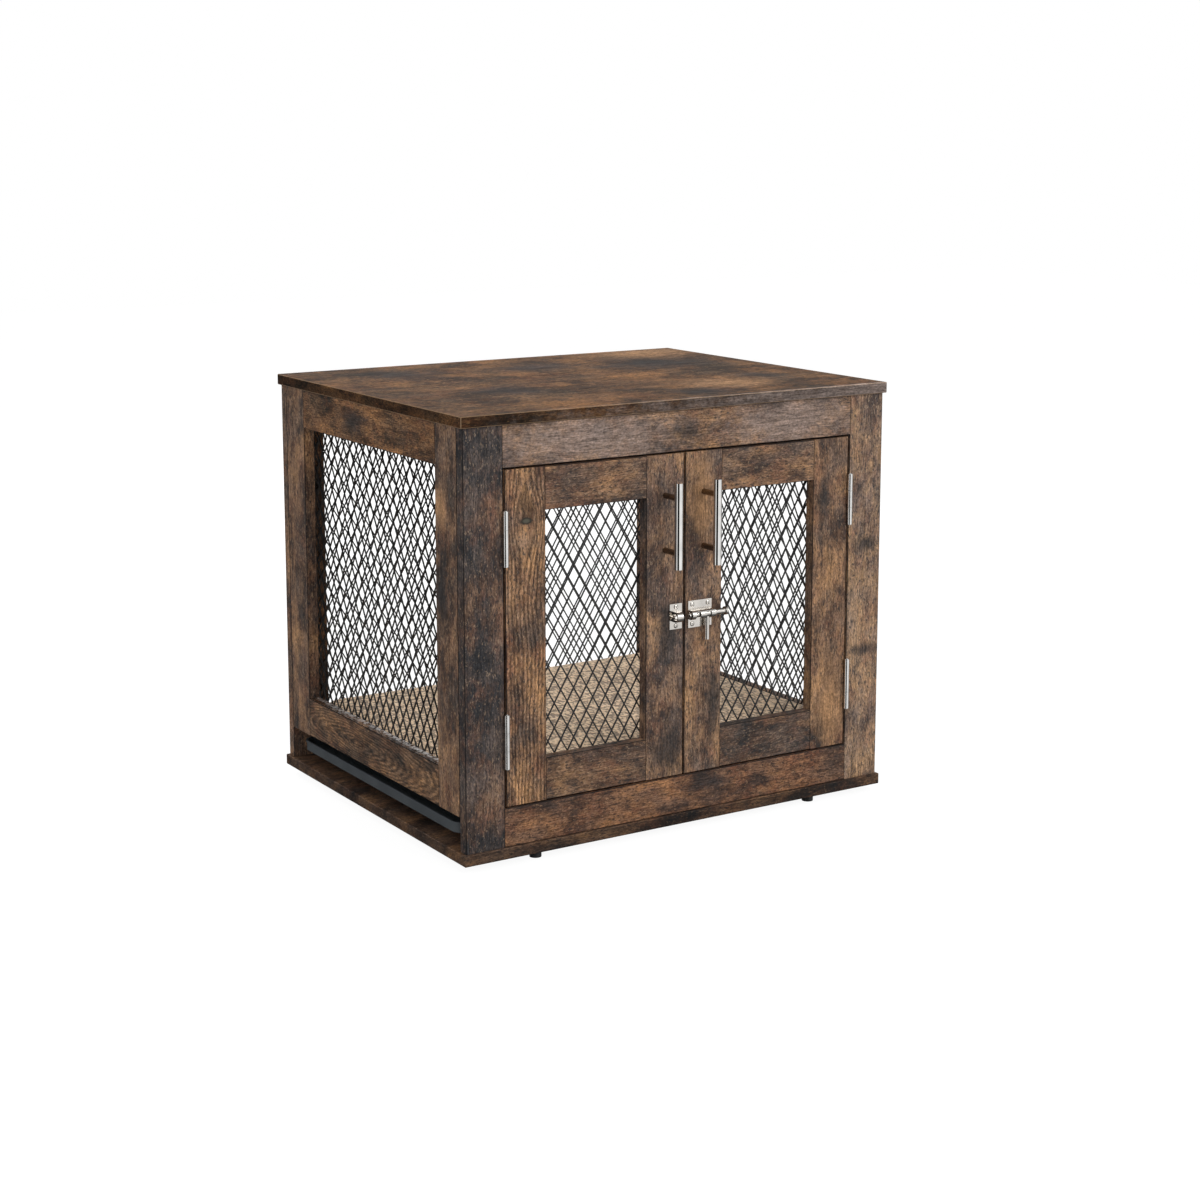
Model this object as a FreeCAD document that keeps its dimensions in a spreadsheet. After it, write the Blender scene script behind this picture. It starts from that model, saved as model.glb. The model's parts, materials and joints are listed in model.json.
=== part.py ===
import FreeCAD, Part
import math
import os
import re
import Sketcher

# Furniture-style pet crate: panelled box with wire sides, two doors, a barrel bolt and a pull-out tray.
# Front faces -Y, the tray comes out at the left, -X, and the feet stand on Z = 0.

# Driving dimensions in millimetres
SIZES = {
    # Boards of the box
    "top_width": 590.0,
    "top_depth": 475.0,
    "top_thickness": 13.0,
    "base_thickness": 13.0,
    "body_height": 505.0,
    "frame_inset": 3.5,
    "board": 14.0,
    "edge_ease": 0.8,
    "post_width": 50.0,
    "head_height": 48.0,
    "sill_height": 45.0,
    "side_stile_width": 50.0,
    "side_rail_height": 48.0,
    "slot_height": 40.0,
    # Doors
    "door_gap": 2.0,
    "door_stile_width": 52.0,
    "door_rail_height": 49.0,
    # Stub tenons of every rail
    "tenon_length": 12.0,
    "tenon_thickness": 5.0,
    "tenon_shoulder": 8.0,
    "tenon_fit": 0.1,
    # Diamond wire sheets
    "wire_size": 1.4,
    "diamond_width": 17.2,
    "diamond_height": 29.0,
    "mesh_lap": 9.0,
    # Butt hinges
    "hinge_length": 62.0,
    "hinge_offset": 115.0,
    "leaf_thickness": 1.0,
    "leaf_play": 0.4,
    "leaf_depth": 12.0,
    "barrel_radius": 3.2,
    "knuckle_play": 0.3,
    "pin_radius": 1.5,
    "pin_play": 0.05,
    "pin_proud": 0.8,
    # Bar handles
    "bar_diameter": 10.0,
    "bar_length": 100.0,
    "post_length": 22.5,
    "post_radius": 3.5,
    "post_spacing": 64.0,
    "handle_rise": 111.5,
    "handle_screw_radius": 2.0,
    "handle_screw_grip": 10.0,
    "handle_screw_play": 0.3,
    "screw_head_radius": 4.0,
    "screw_head_height": 2.4,
    # Barrel bolt
    "bolt_radius": 3.5,
    "bolt_play": 0.08,
    "bolt_nose": 1.0,
    "bolt_rest": 1.5,
    "bolt_throw": 15.0,
    "latch_plate_near": 5.0,
    "latch_plate_length": 33.0,
    "latch_plate_height": 32.0,
    "latch_plate_thickness": 1.5,
    "guide_width": 5.0,
    "guide_wall": 2.0,
    "tail_length": 3.0,
    "tail_radius": 5.0,
    "collar_wall": 0.9,
    "collar_width": 6.0,
    "collar_play": 0.05,
    "collar_clear": 0.3,
    "knob_radius": 2.9,
    "knob_reach": 31.0,
    "keeper_near": 4.0,
    "keeper_length": 17.0,
    "keeper_height": 30.0,
    "keeper_play": 0.6,
    "keeper_guide_width": 8.0,
    # Floor, tray and feet
    "runner_ledge_width": 25.0,
    "runner_ledge_height": 15.0,
    "runner_setback": 20.0,
    "tray_gap": 14.5,
    "tray_side_play": 0.5,
    "tray_height": 12.5,
    "tray_sheet": 1.2,
    "tray_corner": 14.0,
    "tray_hem": 1.2,
    "tray_hem_height": 2.2,
    "tray_setback": 8.0,
    "tray_stop": 3.0,
    "floor_clear": 1.5,
    "floor_play": 1.0,
    "floor_thickness": 8.0,
    "mat_side_play": 20.0,
    "mat_end_play": 8.0,
    "mat_thickness": 20.0,
    "mat_corner": 30.0,
    "mat_draw_in": 3.0,
    "mat_roll": 4.0,
    "mat_roll_inset": 2.5,
    "mat_crown_inset": 24.0,
    "mat_crown": 1.0,
    "foot_height": 9.0,
    "foot_radius": 7.0,
    "foot_spread": 195.0,
    "foot_setback": 16.0,
}

# Levels and faces worked out from the driving dimensions
BASE_TOP = "(foot_height + base_thickness)"
TOP_UNDER = "(foot_height + body_height - top_thickness)"
FRAME_TALL = f"({TOP_UNDER} - {BASE_TOP})"
HEAD_LOW = f"({TOP_UNDER} - head_height)"
SILL_TOP = f"({BASE_TOP} + sill_height)"
SLOT_TOP = f"({BASE_TOP} + slot_height)"
REACH = "(post_length + bar_diameter - frame_inset)"
FRONT_EDGE = f"(({REACH} - top_depth)/2)"
BACK_EDGE = f"(({REACH} + top_depth)/2)"
FACE = f"({FRONT_EDGE} + frame_inset)"
FRONT_INNER = f"({FACE} + board)"
BACK_INNER = f"({BACK_EDGE} - frame_inset - board)"
SIDE_FACE = "(top_width/2 - frame_inset)"
SIDE_INNER = f"({SIDE_FACE} - board)"
POST_EDGE = f"({SIDE_FACE} - post_width)"
SIDE_RUN = f"({BACK_INNER} - {FRONT_INNER})"
HINGE_GAP = "(2*leaf_thickness + leaf_play)"
DOOR_LOW = f"({SILL_TOP} + door_gap)"
DOOR_TALL = f"({HEAD_LOW} - {SILL_TOP} - 2*door_gap)"
DOOR_MIDDLE = f"({DOOR_LOW} + {DOOR_TALL}/2)"
DOOR_FAR = f"({POST_EDGE} - {HINGE_GAP})"
LOCK_FAR = "(door_gap/2 + door_stile_width)"
HINGE_NEAR = f"({DOOR_FAR} - door_stile_width)"
LOCK_CENTRE = "(door_gap/2 + door_stile_width/2)"
BOLT_AXIS = "(latch_plate_thickness + collar_clear + bolt_radius + collar_wall)"
BOLT_Y = f"({FACE} - {BOLT_AXIS})"
FLOOR_LOW = f"({SLOT_TOP} + floor_clear)"
MAT_LOW = f"({FLOOR_LOW} + floor_thickness)"
LOW_RAIL_TOP = f"({MAT_LOW} + mesh_lap + floor_play)"
LOW_RAIL_TALL = f"({LOW_RAIL_TOP} - {BASE_TOP})"

SIDES = ("left", "right")
AXES = {"x": FreeCAD.Vector(1, 0, 0), "y": FreeCAD.Vector(0, 1, 0), "z": FreeCAD.Vector(0, 0, 1)}

doc = FreeCAD.newDocument("PetCrate")
sheet = doc.addObject("Spreadsheet::Sheet", "Sheet")
for row, (name, number) in enumerate(SIZES.items(), start=1):
    sheet.set(f"A{row}", name)
    sheet.set(f"B{row}", str(number))
    sheet.setAlias(f"B{row}", name)
doc.recompute()
nodes = []


def bound(text):
    """Turns size names into references to the sheet's cells."""
    return re.sub(r"[a-z_]+", lambda found: "Sheet." + found[0] if found[0] in SIZES else found[0], text)


def value(text):
    """Works out an expression as a plain number."""
    return float(sheet.evalExpression(bound(text)))


def put(item, place):
    """Ties an object's place to the sheet."""
    for axis, text in zip("xyz", place):
        item.setExpression(f"Placement.Base.{axis}", bound(text))


def node(item, label):
    """Names a finished sub-part."""
    item.Label = label
    nodes.append(item)
    return item


def low_x(side, near, far):
    """Lowest X of a piece that spans near to far from the middle on one side."""
    return f"(-{far})" if side == "left" else near


def mirrored(side, distance):
    """X of a point at a distance from the middle on one side."""
    return f"(-{distance})" if side == "left" else distance


# Sketches and features of the boards

def new_body(label, place):
    body = doc.addObject("PartDesign::Body", label)
    put(body, place)
    return node(body, label)


def sketch_on(body, role, offset="0"):
    sketch = body.newObject("Sketcher::SketchObject", body.Name + "_sketch")
    origin_plane = [feature for feature in body.Origin.OriginFeatures if feature.Role == role]
    sketch.AttachmentSupport = [(origin_plane[0], "")]
    sketch.MapMode = "FlatFace"
    sketch.setExpression("AttachmentOffset.Base.z", bound(offset))
    return sketch


def tie(sketch, constraint, text):
    index = sketch.addConstraint(constraint)
    sketch.setExpression(f"Constraints[{index}]", bound(text))


def rectangle(sketch, left, low, wide, tall):
    x, y, w, t = (value(text) for text in (left, low, wide, tall))
    corners = [(x, y), (x + w, y), (x + w, y + t), (x, y + t)]
    points = [FreeCAD.Vector(u, v, 0) for u, v in corners]
    first = sketch.GeometryCount
    for start, end in zip(points, points[1:] + points[:1]):
        sketch.addGeometry(Part.LineSegment(start, end))
    for line in range(4):
        sketch.addConstraint(Sketcher.Constraint("Coincident", first + line, 2, first + (line + 1) % 4, 1))
    for line in (0, 2):
        sketch.addConstraint(Sketcher.Constraint("Horizontal", first + line))
        sketch.addConstraint(Sketcher.Constraint("Vertical", first + line + 1))
    tie(sketch, Sketcher.Constraint("DistanceX", -1, 1, first, 1, x), left)
    tie(sketch, Sketcher.Constraint("DistanceY", -1, 1, first, 1, y), low)
    tie(sketch, Sketcher.Constraint("DistanceX", first, 1, first, 2, w), wide)
    tie(sketch, Sketcher.Constraint("DistanceY", first + 1, 1, first + 1, 2, t), tall)


def rounded_rectangle(sketch, wide, tall, inset, radius):
    """Outline with round corners, inset from a rectangle that starts at the origin."""
    n, w, t, r = (value(text) for text in (inset, wide, tall, radius))
    half = math.pi / 2
    centres = [(w - n - r, n + r), (w - n - r, t - n - r), (n + r, t - n - r), (n + r, n + r)]
    for index, (u, v) in enumerate(centres):
        begin = (index - 1) * half
        bend = Part.Circle(FreeCAD.Vector(u, v, 0), FreeCAD.Vector(0, 0, 1), r)
        sketch.addGeometry(Part.ArcOfCircle(bend, begin, begin + half))
    for index, (u, v) in enumerate(centres):
        next_u, next_v = centres[(index + 1) % 4]
        out_u, out_v = r * math.cos(index * half), r * math.sin(index * half)
        start = FreeCAD.Vector(u + out_u, v + out_v, 0)
        end = FreeCAD.Vector(next_u + out_u, next_v + out_v, 0)
        sketch.addGeometry(Part.LineSegment(start, end))
    for index in range(4):
        sketch.addConstraint(Sketcher.Constraint("Tangent", index, 2, index + 4, 1))
        sketch.addConstraint(Sketcher.Constraint("Tangent", index + 4, 2, (index + 1) % 4, 1))
        tie(sketch, Sketcher.Constraint("Radius", index, r), radius)
    for line in (4, 6):
        sketch.addConstraint(Sketcher.Constraint("Vertical", line))
        sketch.addConstraint(Sketcher.Constraint("Horizontal", line + 1))
    tie(sketch, Sketcher.Constraint("DistanceX", -1, 1, 6, 1, n), inset)
    tie(sketch, Sketcher.Constraint("DistanceY", -1, 1, 7, 1, n), inset)
    tie(sketch, Sketcher.Constraint("DistanceX", 6, 1, 4, 1, w - 2 * n), f"{wide} - 2*{inset}")
    tie(sketch, Sketcher.Constraint("DistanceY", 7, 1, 5, 1, t - 2 * n), f"{tall} - 2*{inset}")


def circle(sketch, across, up, radius):
    u, v, r = (value(text) for text in (across, up, radius))
    index = sketch.addGeometry(Part.Circle(FreeCAD.Vector(u, v, 0), FreeCAD.Vector(0, 0, 1), r))
    tie(sketch, Sketcher.Constraint("DistanceX", -1, 1, index, 3, u), across)
    tie(sketch, Sketcher.Constraint("DistanceY", -1, 1, index, 3, v), up)
    tie(sketch, Sketcher.Constraint("Radius", index, r), radius)


def pad(body, sketch, length, side_type="One side"):
    feature = body.newObject("PartDesign::Pad", body.Name + "_pad")
    feature.Profile = sketch
    feature.SideType = side_type
    feature.setExpression("Length", bound(length))
    doc.recompute()
    return feature


def pocket(body, sketch, length, side_type):
    before = body.Shape.Volume
    feature = body.newObject("PartDesign::Pocket", body.Name + "_pocket")
    feature.Profile = sketch
    feature.SideType = side_type
    feature.setExpression("Length", bound(length))
    doc.recompute()
    if body.Shape.Volume > before - 1.0:
        raise RuntimeError(body.Label + ": a pocket removed nothing")
    return feature


def edges_along(shape, axes):
    """Names of the straight edges that run along any of the given axes."""
    names = []
    for index, edge in enumerate(shape.Edges, start=1):
        if edge.Curve.TypeId != "Part::GeomLine":
            continue
        run = edge.tangentAt(edge.FirstParameter)
        if any(abs(run.dot(AXES[axis])) > 0.999 for axis in axes):
            names.append(f"Edge{index}")
    return names


def dress(body, kind, base, edges, size_name, size):
    """Chamfers or fillets some edges of a feature."""
    feature = body.newObject("PartDesign::" + kind, body.Name + "_" + kind.lower())
    feature.Base = (base, edges)
    feature.setExpression(size_name, bound(size))
    doc.recompute()
    return feature


def middle_sketch(body, across, size):
    """Sketch at mid-thickness: in the XZ plane for boards that face front or back, else in the YZ plane."""
    if across == "x":
        return sketch_on(body, "XZ_Plane", f"-{size[1]}/2")
    return sketch_on(body, "YZ_Plane", f"{size[0]}/2")


def board(label, size, place, grain):
    """Plain board with eased long edges; grain names its long axis, or several axes for a panel."""
    body = new_body(label, place)
    outline = sketch_on(body, "XY_Plane")
    rectangle(outline, "0", "0", size[0], size[1])
    block = pad(body, outline, size[2])
    dress(body, "Chamfer", block, edges_along(block.Shape, grain), "Size", "edge_ease")
    return body


def rail(label, size, place, grain):
    """Horizontal board with a stub tenon at each end."""
    body = board(label, size, place, grain)
    length = size["xy".index(grain)]
    tongue = middle_sketch(body, grain, size)
    tall = f"{size[2]} - 2*tenon_shoulder"
    rectangle(tongue, "-tenon_length", "tenon_shoulder", f"{length} + 2*tenon_length", tall)
    pad(body, tongue, "tenon_thickness", "Symmetric")
    return body


def stile(label, size, place, across, inner_edge, rails):
    """Upright board with mortises in its inner edge; rails lists each rail's height above it and depth."""
    body = board(label, size, place, "z")
    width = size["xy".index(across)]
    start = "-tenon_fit" if inner_edge == "low" else f"{width} - tenon_length - tenon_fit"
    mortises = middle_sketch(body, across, size)
    for rail_low, rail_tall in rails:
        low = f"{rail_low} + tenon_shoulder - tenon_fit"
        tall = f"{rail_tall} - 2*tenon_shoulder + 2*tenon_fit"
        rectangle(mortises, start, low, "tenon_length + 2*tenon_fit", tall)
    pocket(body, mortises, "tenon_thickness + 2*tenon_fit", "Symmetric")
    return body


# Primitives and booleans of the hardware

def block(size, place):
    item = doc.addObject("Part::Box", "block")
    for prop, text in zip(("Length", "Width", "Height"), size):
        item.setExpression(prop, bound(text))
    put(item, place)
    return item


def turned(radius, length, place, along, end_radius=None):
    """Cylinder, or cone where an end radius is given, from a place along an axis or its opposite."""
    kind = "Part::Cylinder" if end_radius is None else "Part::Cone"
    item = doc.addObject(kind, "turned")
    direction = AXES[along[-1]] * (-1 if along[0] == "-" else 1)
    item.Placement = FreeCAD.Placement(FreeCAD.Vector(), FreeCAD.Rotation(AXES["z"], direction))
    item.setExpression("Height", bound(length))
    if end_radius is None:
        item.setExpression("Radius", bound(radius))
    else:
        item.setExpression("Radius1", bound(radius))
        item.setExpression("Radius2", bound(end_radius))
    put(item, place)
    return item


def fused(items):
    item = doc.addObject("Part::MultiFuse", "fused")
    item.Shapes = items
    item.Refine = True
    return item


def cut(base, tool):
    item = doc.addObject("Part::Cut", "cut")
    item.Base = base
    item.Tool = tool
    return item


def group(label, items):
    """Separate like solids that share one node."""
    item = doc.addObject("Part::Compound", label)
    item.Links = items
    return node(item, label)


# Top and base

def panel(label, low, thickness):
    size = ("top_width", "top_depth", thickness)
    board(label, size, ("-top_width/2", FRONT_EDGE, low), "xyz")


panel("top_panel", TOP_UNDER, "top_thickness")
panel("base_panel", "foot_height", "base_thickness")


# Front and back frames: two posts, a head rail and a sill each

def upright_frame(name, low_y, sill_tall):
    width = f"(2*{POST_EDGE})"
    rails = [("0", sill_tall), (f"{HEAD_LOW} - {BASE_TOP}", "head_height")]
    for side, inner_edge in zip(SIDES, ("high", "low")):
        size = ("post_width", "board", FRAME_TALL)
        place = (low_x(side, POST_EDGE, SIDE_FACE), low_y, BASE_TOP)
        stile(f"{name}_{side}_post", size, place, "x", inner_edge, rails)
    rail(f"{name}_head_rail", (width, "board", "head_height"), (f"-{POST_EDGE}", low_y, HEAD_LOW), "x")
    rail(f"{name}_sill", (width, "board", sill_tall), (f"-{POST_EDGE}", low_y, BASE_TOP), "x")


upright_frame("front", FACE, "sill_height")
upright_frame("back", BACK_INNER, LOW_RAIL_TALL)


# Side frames: the left one stops above the tray slot, the right one runs down to the base

def side_frame(side):
    low = SLOT_TOP if side == "left" else BASE_TOP
    rail_tall = "side_rail_height" if side == "left" else LOW_RAIL_TALL
    low_side = low_x(side, SIDE_INNER, SIDE_FACE)
    rails = [("0", rail_tall), (f"{HEAD_LOW} - {low}", "head_height")]
    ends = (("front", FRONT_INNER, "high"), ("rear", f"{BACK_INNER} - side_stile_width", "low"))
    for end, low_y, inner_edge in ends:
        size = ("board", "side_stile_width", f"{TOP_UNDER} - {low}")
        stile(f"{side}_{end}_stile", size, (low_side, low_y, low), "y", inner_edge, rails)
    run = f"({SIDE_RUN} - 2*side_stile_width)"
    low_y = f"{FRONT_INNER} + side_stile_width"
    rail(f"{side}_top_rail", ("board", run, "head_height"), (low_side, low_y, HEAD_LOW), "y")
    rail(f"{side}_bottom_rail", ("board", run, rail_tall), (low_side, low_y, low), "y")


for side in SIDES:
    side_frame(side)


# Doors: stiles, rails and the holes for the handle screws

def door_frame(side):
    mirror = {"left": ("high", "low"), "right": ("low", "high")}
    hinge_inner, lock_inner = mirror[side]
    size = ("door_stile_width", "board", DOOR_TALL)
    rails = [("0", "door_rail_height"), (f"{DOOR_TALL} - door_rail_height", "door_rail_height")]
    place = (low_x(side, HINGE_NEAR, DOOR_FAR), FACE, DOOR_LOW)
    stile(f"{side}_door_hinge_stile", size, place, "x", hinge_inner, rails)
    place = (low_x(side, "door_gap/2", LOCK_FAR), FACE, DOOR_LOW)
    lock_stile = stile(f"{side}_door_lock_stile", size, place, "x", lock_inner, rails)
    drilling = sketch_on(lock_stile, "XZ_Plane")
    for direction in ("-", "+"):
        up = f"{DOOR_TALL}/2 + handle_rise {direction} post_spacing/2"
        circle(drilling, "door_stile_width/2", up, "handle_screw_radius + handle_screw_play")
    pocket(lock_stile, drilling, "4*board", "Symmetric")
    size = (f"({HINGE_NEAR} - {LOCK_FAR})", "board", "door_rail_height")
    low_side = low_x(side, LOCK_FAR, HINGE_NEAR)
    rail(f"{side}_door_bottom_rail", size, (low_side, FACE, DOOR_LOW), "x")
    high = f"{DOOR_LOW} + {DOOR_TALL} - door_rail_height"
    rail(f"{side}_door_top_rail", size, (low_side, FACE, high), "x")


for side in SIDES:
    door_frame(side)


# Diamond wire sheets: two touching layers of slanted wires on the inner faces of the frames

def clipped(points, limit, keep):
    """Part of a polygon on one side of the line u = limit."""
    result = []
    for (u0, v0), (u1, v1) in zip(points, points[1:] + points[:1]):
        inside = (u0 - limit) * keep >= 0
        if inside:
            result.append((u0, v0))
        if inside != ((u1 - limit) * keep >= 0):
            share = (limit - u0) / (u1 - u0)
            result.append((limit, v0 + share * (v1 - v0)))
    return result


def sheet_counts(open_wide, open_tall):
    """Half diamonds across and up, so that the sheet laps on to its frame all round."""
    lap = 2 * value("mesh_lap")
    across = math.ceil((value(open_wide) + lap) / value("diamond_width/2"))
    up = math.ceil((value(open_tall) + lap) / value("diamond_height/2"))
    return across, up


def prism(points, low, depth):
    corners = [FreeCAD.Vector(u, v, low) for u, v in points]
    face = Part.Face(Part.makePolygon(corners + corners[:1]))
    return face.extrude(FreeCAD.Vector(0, 0, depth))


def wires(open_wide, open_tall):
    """Solids of one sheet with the least lap below its opening and with depth along local Z."""
    wire = value("wire_size")
    pitch = value("diamond_width")
    lean = pitch / value("diamond_height")
    across, up = sheet_counts(open_wide, open_tall)
    wide = across * pitch / 2
    tall = up * value("diamond_height/2")
    half = wire * math.hypot(1, lean) / 2
    bottom = value(f"{open_tall}/2 + mesh_lap")
    solids = []
    for layer, slope in enumerate((lean, -lean)):
        shift = pitch / 2 * layer
        count = math.ceil((wide + tall * lean) / pitch) + 1
        for index in range(-count, count + 1):
            foot = shift + index * pitch
            head = foot + slope * tall
            strip = [(foot - half, 0), (foot + half, 0), (head + half, tall), (head - half, tall)]
            strip = clipped(clipped(strip, 0, 1), wide, -1)
            heights = [v for u, v in strip]
            if len(strip) < 4 or max(heights) - min(heights) < 3 * wire:
                continue
            points = [(u - wide / 2, v - bottom) for u, v in strip]
            solids.append(prism(points, layer * wire, wire))
    return solids


def laid(name, solids, place, across, depth):
    """Compound of sheet solids turned on to a frame: across and depth are directions in the crate."""
    item = doc.addObject("Part::Feature", name)
    item.Shape = Part.makeCompound(solids)
    item.Placement = FreeCAD.Placement(FreeCAD.Vector(), FreeCAD.Rotation(across, AXES["z"], depth, "XYZ"))
    put(item, place)
    return item


LEFT_TALL = f"({HEAD_LOW} - {SLOT_TOP} - side_rail_height)"
LOW_OPEN_TALL = f"({HEAD_LOW} - {LOW_RAIL_TOP})"
LOW_OPEN_MIDDLE = f"({HEAD_LOW} - {LOW_OPEN_TALL}/2)"
SIDE_OPEN = f"({SIDE_RUN} - 2*side_stile_width)"
SIDE_CENTRE = f"(({FRONT_INNER} + {BACK_INNER})/2)"
LEFT_SHEET = (f"-{SIDE_INNER}", SIDE_CENTRE, f"({HEAD_LOW} - {LEFT_TALL}/2)")
RIGHT_SHEET = (SIDE_INNER, SIDE_CENTRE, LOW_OPEN_MIDDLE)
BACK_OPEN = f"(2*{POST_EDGE})"
DOOR_OPEN = f"({HINGE_NEAR} - {LOCK_FAR})"
DOOR_OPEN_TALL = f"({DOOR_TALL} - 2*door_rail_height)"
DOOR_CENTRE = f"(({HINGE_NEAR} + {LOCK_FAR})/2)"

# name: opening width and height, place of its centre on the frame's inner face, across and depth directions
SHEETS = {
    "left_side": (SIDE_OPEN, LEFT_TALL, LEFT_SHEET, AXES["y"], AXES["x"]),
    "right_side": (SIDE_OPEN, LOW_OPEN_TALL, RIGHT_SHEET, -AXES["y"], -AXES["x"]),
    "back": (BACK_OPEN, LOW_OPEN_TALL, ("0", BACK_INNER, LOW_OPEN_MIDDLE), AXES["x"], -AXES["y"]),
}
for side in SIDES:
    centre = (mirrored(side, DOOR_CENTRE), FRONT_INNER, DOOR_MIDDLE)
    SHEETS[f"{side}_door"] = (DOOR_OPEN, DOOR_OPEN_TALL, centre, -AXES["x"], AXES["y"])

for name, (open_wide, open_tall, centre, across, depth) in SHEETS.items():
    mesh = laid(f"{name}_mesh", wires(open_wide, open_tall), centre, across, depth)
    node(mesh, f"{name}_mesh")


# Butt hinges: leaves in the gap between post and door, three knuckles in front of it, a pin through them

HINGE_LOWS = [f"({DOOR_MIDDLE} {sign} hinge_offset - hinge_length/2)" for sign in ("-", "+")]
KNUCKLE = "((hinge_length - 2*knuckle_play)/3)"
HINGE_Y = f"({FACE} - barrel_radius - knuckle_play)"
HINGE_X = f"({POST_EDGE} - {HINGE_GAP}/2)"


def leaf(side, low_side, low, knuckles):
    """Flat leaf with its own knuckles; knuckles lists which of the three it carries."""
    clear = "(barrel_radius + knuckle_play)"
    plate_y = f"({HINGE_Y} + {clear})"
    pieces = [block(("leaf_thickness", "leaf_depth", "hinge_length"), (low_side, plate_y, low))]
    axis_x = mirrored(side, HINGE_X)
    for knuckle in knuckles:
        knuckle_low = f"{low} + {knuckle}*({KNUCKLE} + knuckle_play)"
        pieces.append(block(("leaf_thickness", clear, KNUCKLE), (low_side, HINGE_Y, knuckle_low)))
        pieces.append(turned("barrel_radius", KNUCKLE, (axis_x, HINGE_Y, knuckle_low), "z"))
    bore = turned("pin_radius + pin_play", "hinge_length", (axis_x, HINGE_Y, low), "z")
    return cut(fused(pieces), bore)


def hinge_pin(side, low):
    place = (mirrored(side, HINGE_X), HINGE_Y, f"{low} - pin_proud")
    return turned("pin_radius", "hinge_length + 2*pin_proud", place, "z")


for side in SIDES:
    post_side = low_x(side, f"({POST_EDGE} - leaf_thickness)", POST_EDGE)
    door_side = low_x(side, DOOR_FAR, f"({DOOR_FAR} + leaf_thickness)")
    group(f"{side}_hinge_post_leaves", [leaf(side, post_side, low, (0, 2)) for low in HINGE_LOWS])
    group(f"{side}_hinge_door_leaves", [leaf(side, door_side, low, (1,)) for low in HINGE_LOWS])
    group(f"{side}_hinge_pins", [hinge_pin(side, low) for low in HINGE_LOWS])


# Bar handles: a round bar on two posts, screwed from inside the door

BAR_Y = f"({FACE} - post_length - bar_diameter/2)"
BAR_LOW = f"({DOOR_MIDDLE} + handle_rise - bar_length/2)"


def handle(side):
    x = mirrored(side, LOCK_CENTRE)
    node(turned("bar_diameter/2", "bar_length", (x, BAR_Y, BAR_LOW), "z"), f"{side}_handle_bar")
    posts = []
    screws = []
    for sign in ("-", "+"):
        z = f"({DOOR_MIDDLE} + handle_rise {sign} post_spacing/2)"
        post = turned("post_radius", "post_length + bar_diameter/2", (x, FACE, z), "-y")
        saddle = turned("bar_diameter/2", "bar_length", (x, BAR_Y, BAR_LOW), "z")
        thread = turned("handle_screw_radius", "handle_screw_grip", (x, FACE, z), "-y")
        posts.append(cut(cut(post, saddle), thread))
        shaft = turned("handle_screw_radius", "board + handle_screw_grip", (x, FRONT_INNER, z), "-y")
        head = turned("screw_head_radius", "screw_head_height", (x, FRONT_INNER, z), "y")
        screws.append(fused([shaft, head]))
    group(f"{side}_handle_posts", posts)
    group(f"{side}_handle_screws", screws)


for side in SIDES:
    handle(side)


# Barrel bolt: slotted barrel on the right door, keeper on the left, a sliding bolt with a turning knob

BOLT_BORE = "(bolt_radius + bolt_play)"
COLLAR_LOW = "(latch_plate_near + guide_width + collar_clear + bolt_throw)"
KNOB_X = f"({COLLAR_LOW} + collar_width/2)"


def barrel(low_side, width, bore_radius):
    """D-shaped barrel that stands on the door and carries the bolt."""
    outer = f"({bore_radius} + guide_wall)"
    saddle = block((width, BOLT_AXIS, f"2*{outer}"), (low_side, BOLT_Y, f"{DOOR_MIDDLE} - {outer}"))
    return [saddle, turned(outer, width, (low_side, BOLT_Y, DOOR_MIDDLE), "x")]


def plate(low_side, length, tall):
    size = (length, "latch_plate_thickness", tall)
    return block(size, (low_side, f"{FACE} - latch_plate_thickness", f"{DOOR_MIDDLE} - {tall}/2"))


def barrel_hollow():
    """Bore with a chamber for the knob's collar, and a slot for the knob with a notch at each end."""
    hollow = "(bolt_radius + collar_wall + collar_clear)"
    hollow_low = "(latch_plate_near + guide_width)"
    half = "(knob_radius + collar_clear)"
    thrown = f"({KNOB_X} - bolt_throw)"
    below = f"({DOOR_MIDDLE} - 2*{hollow})"
    axis = (BOLT_Y, DOOR_MIDDLE)
    slot_place = (f"{thrown} - {half}", f"{BOLT_Y} - {half}", below)
    pieces = [
        turned(BOLT_BORE, "latch_plate_length", ("latch_plate_near", *axis), "x"),
        turned(hollow, "latch_plate_length - 2*guide_width", (hollow_low, *axis), "x"),
        block((f"bolt_throw + 2*{half}", f"2*{half}", f"2*{hollow}"), slot_place),
    ]
    for middle in (thrown, KNOB_X):
        notch_place = (f"{middle} - {half}", f"{BOLT_Y} - 2*{hollow}", below)
        pieces.append(block((f"2*{half}", f"2*{hollow}", f"2*{hollow} + {half}"), notch_place))
    return fused(pieces)


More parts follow.
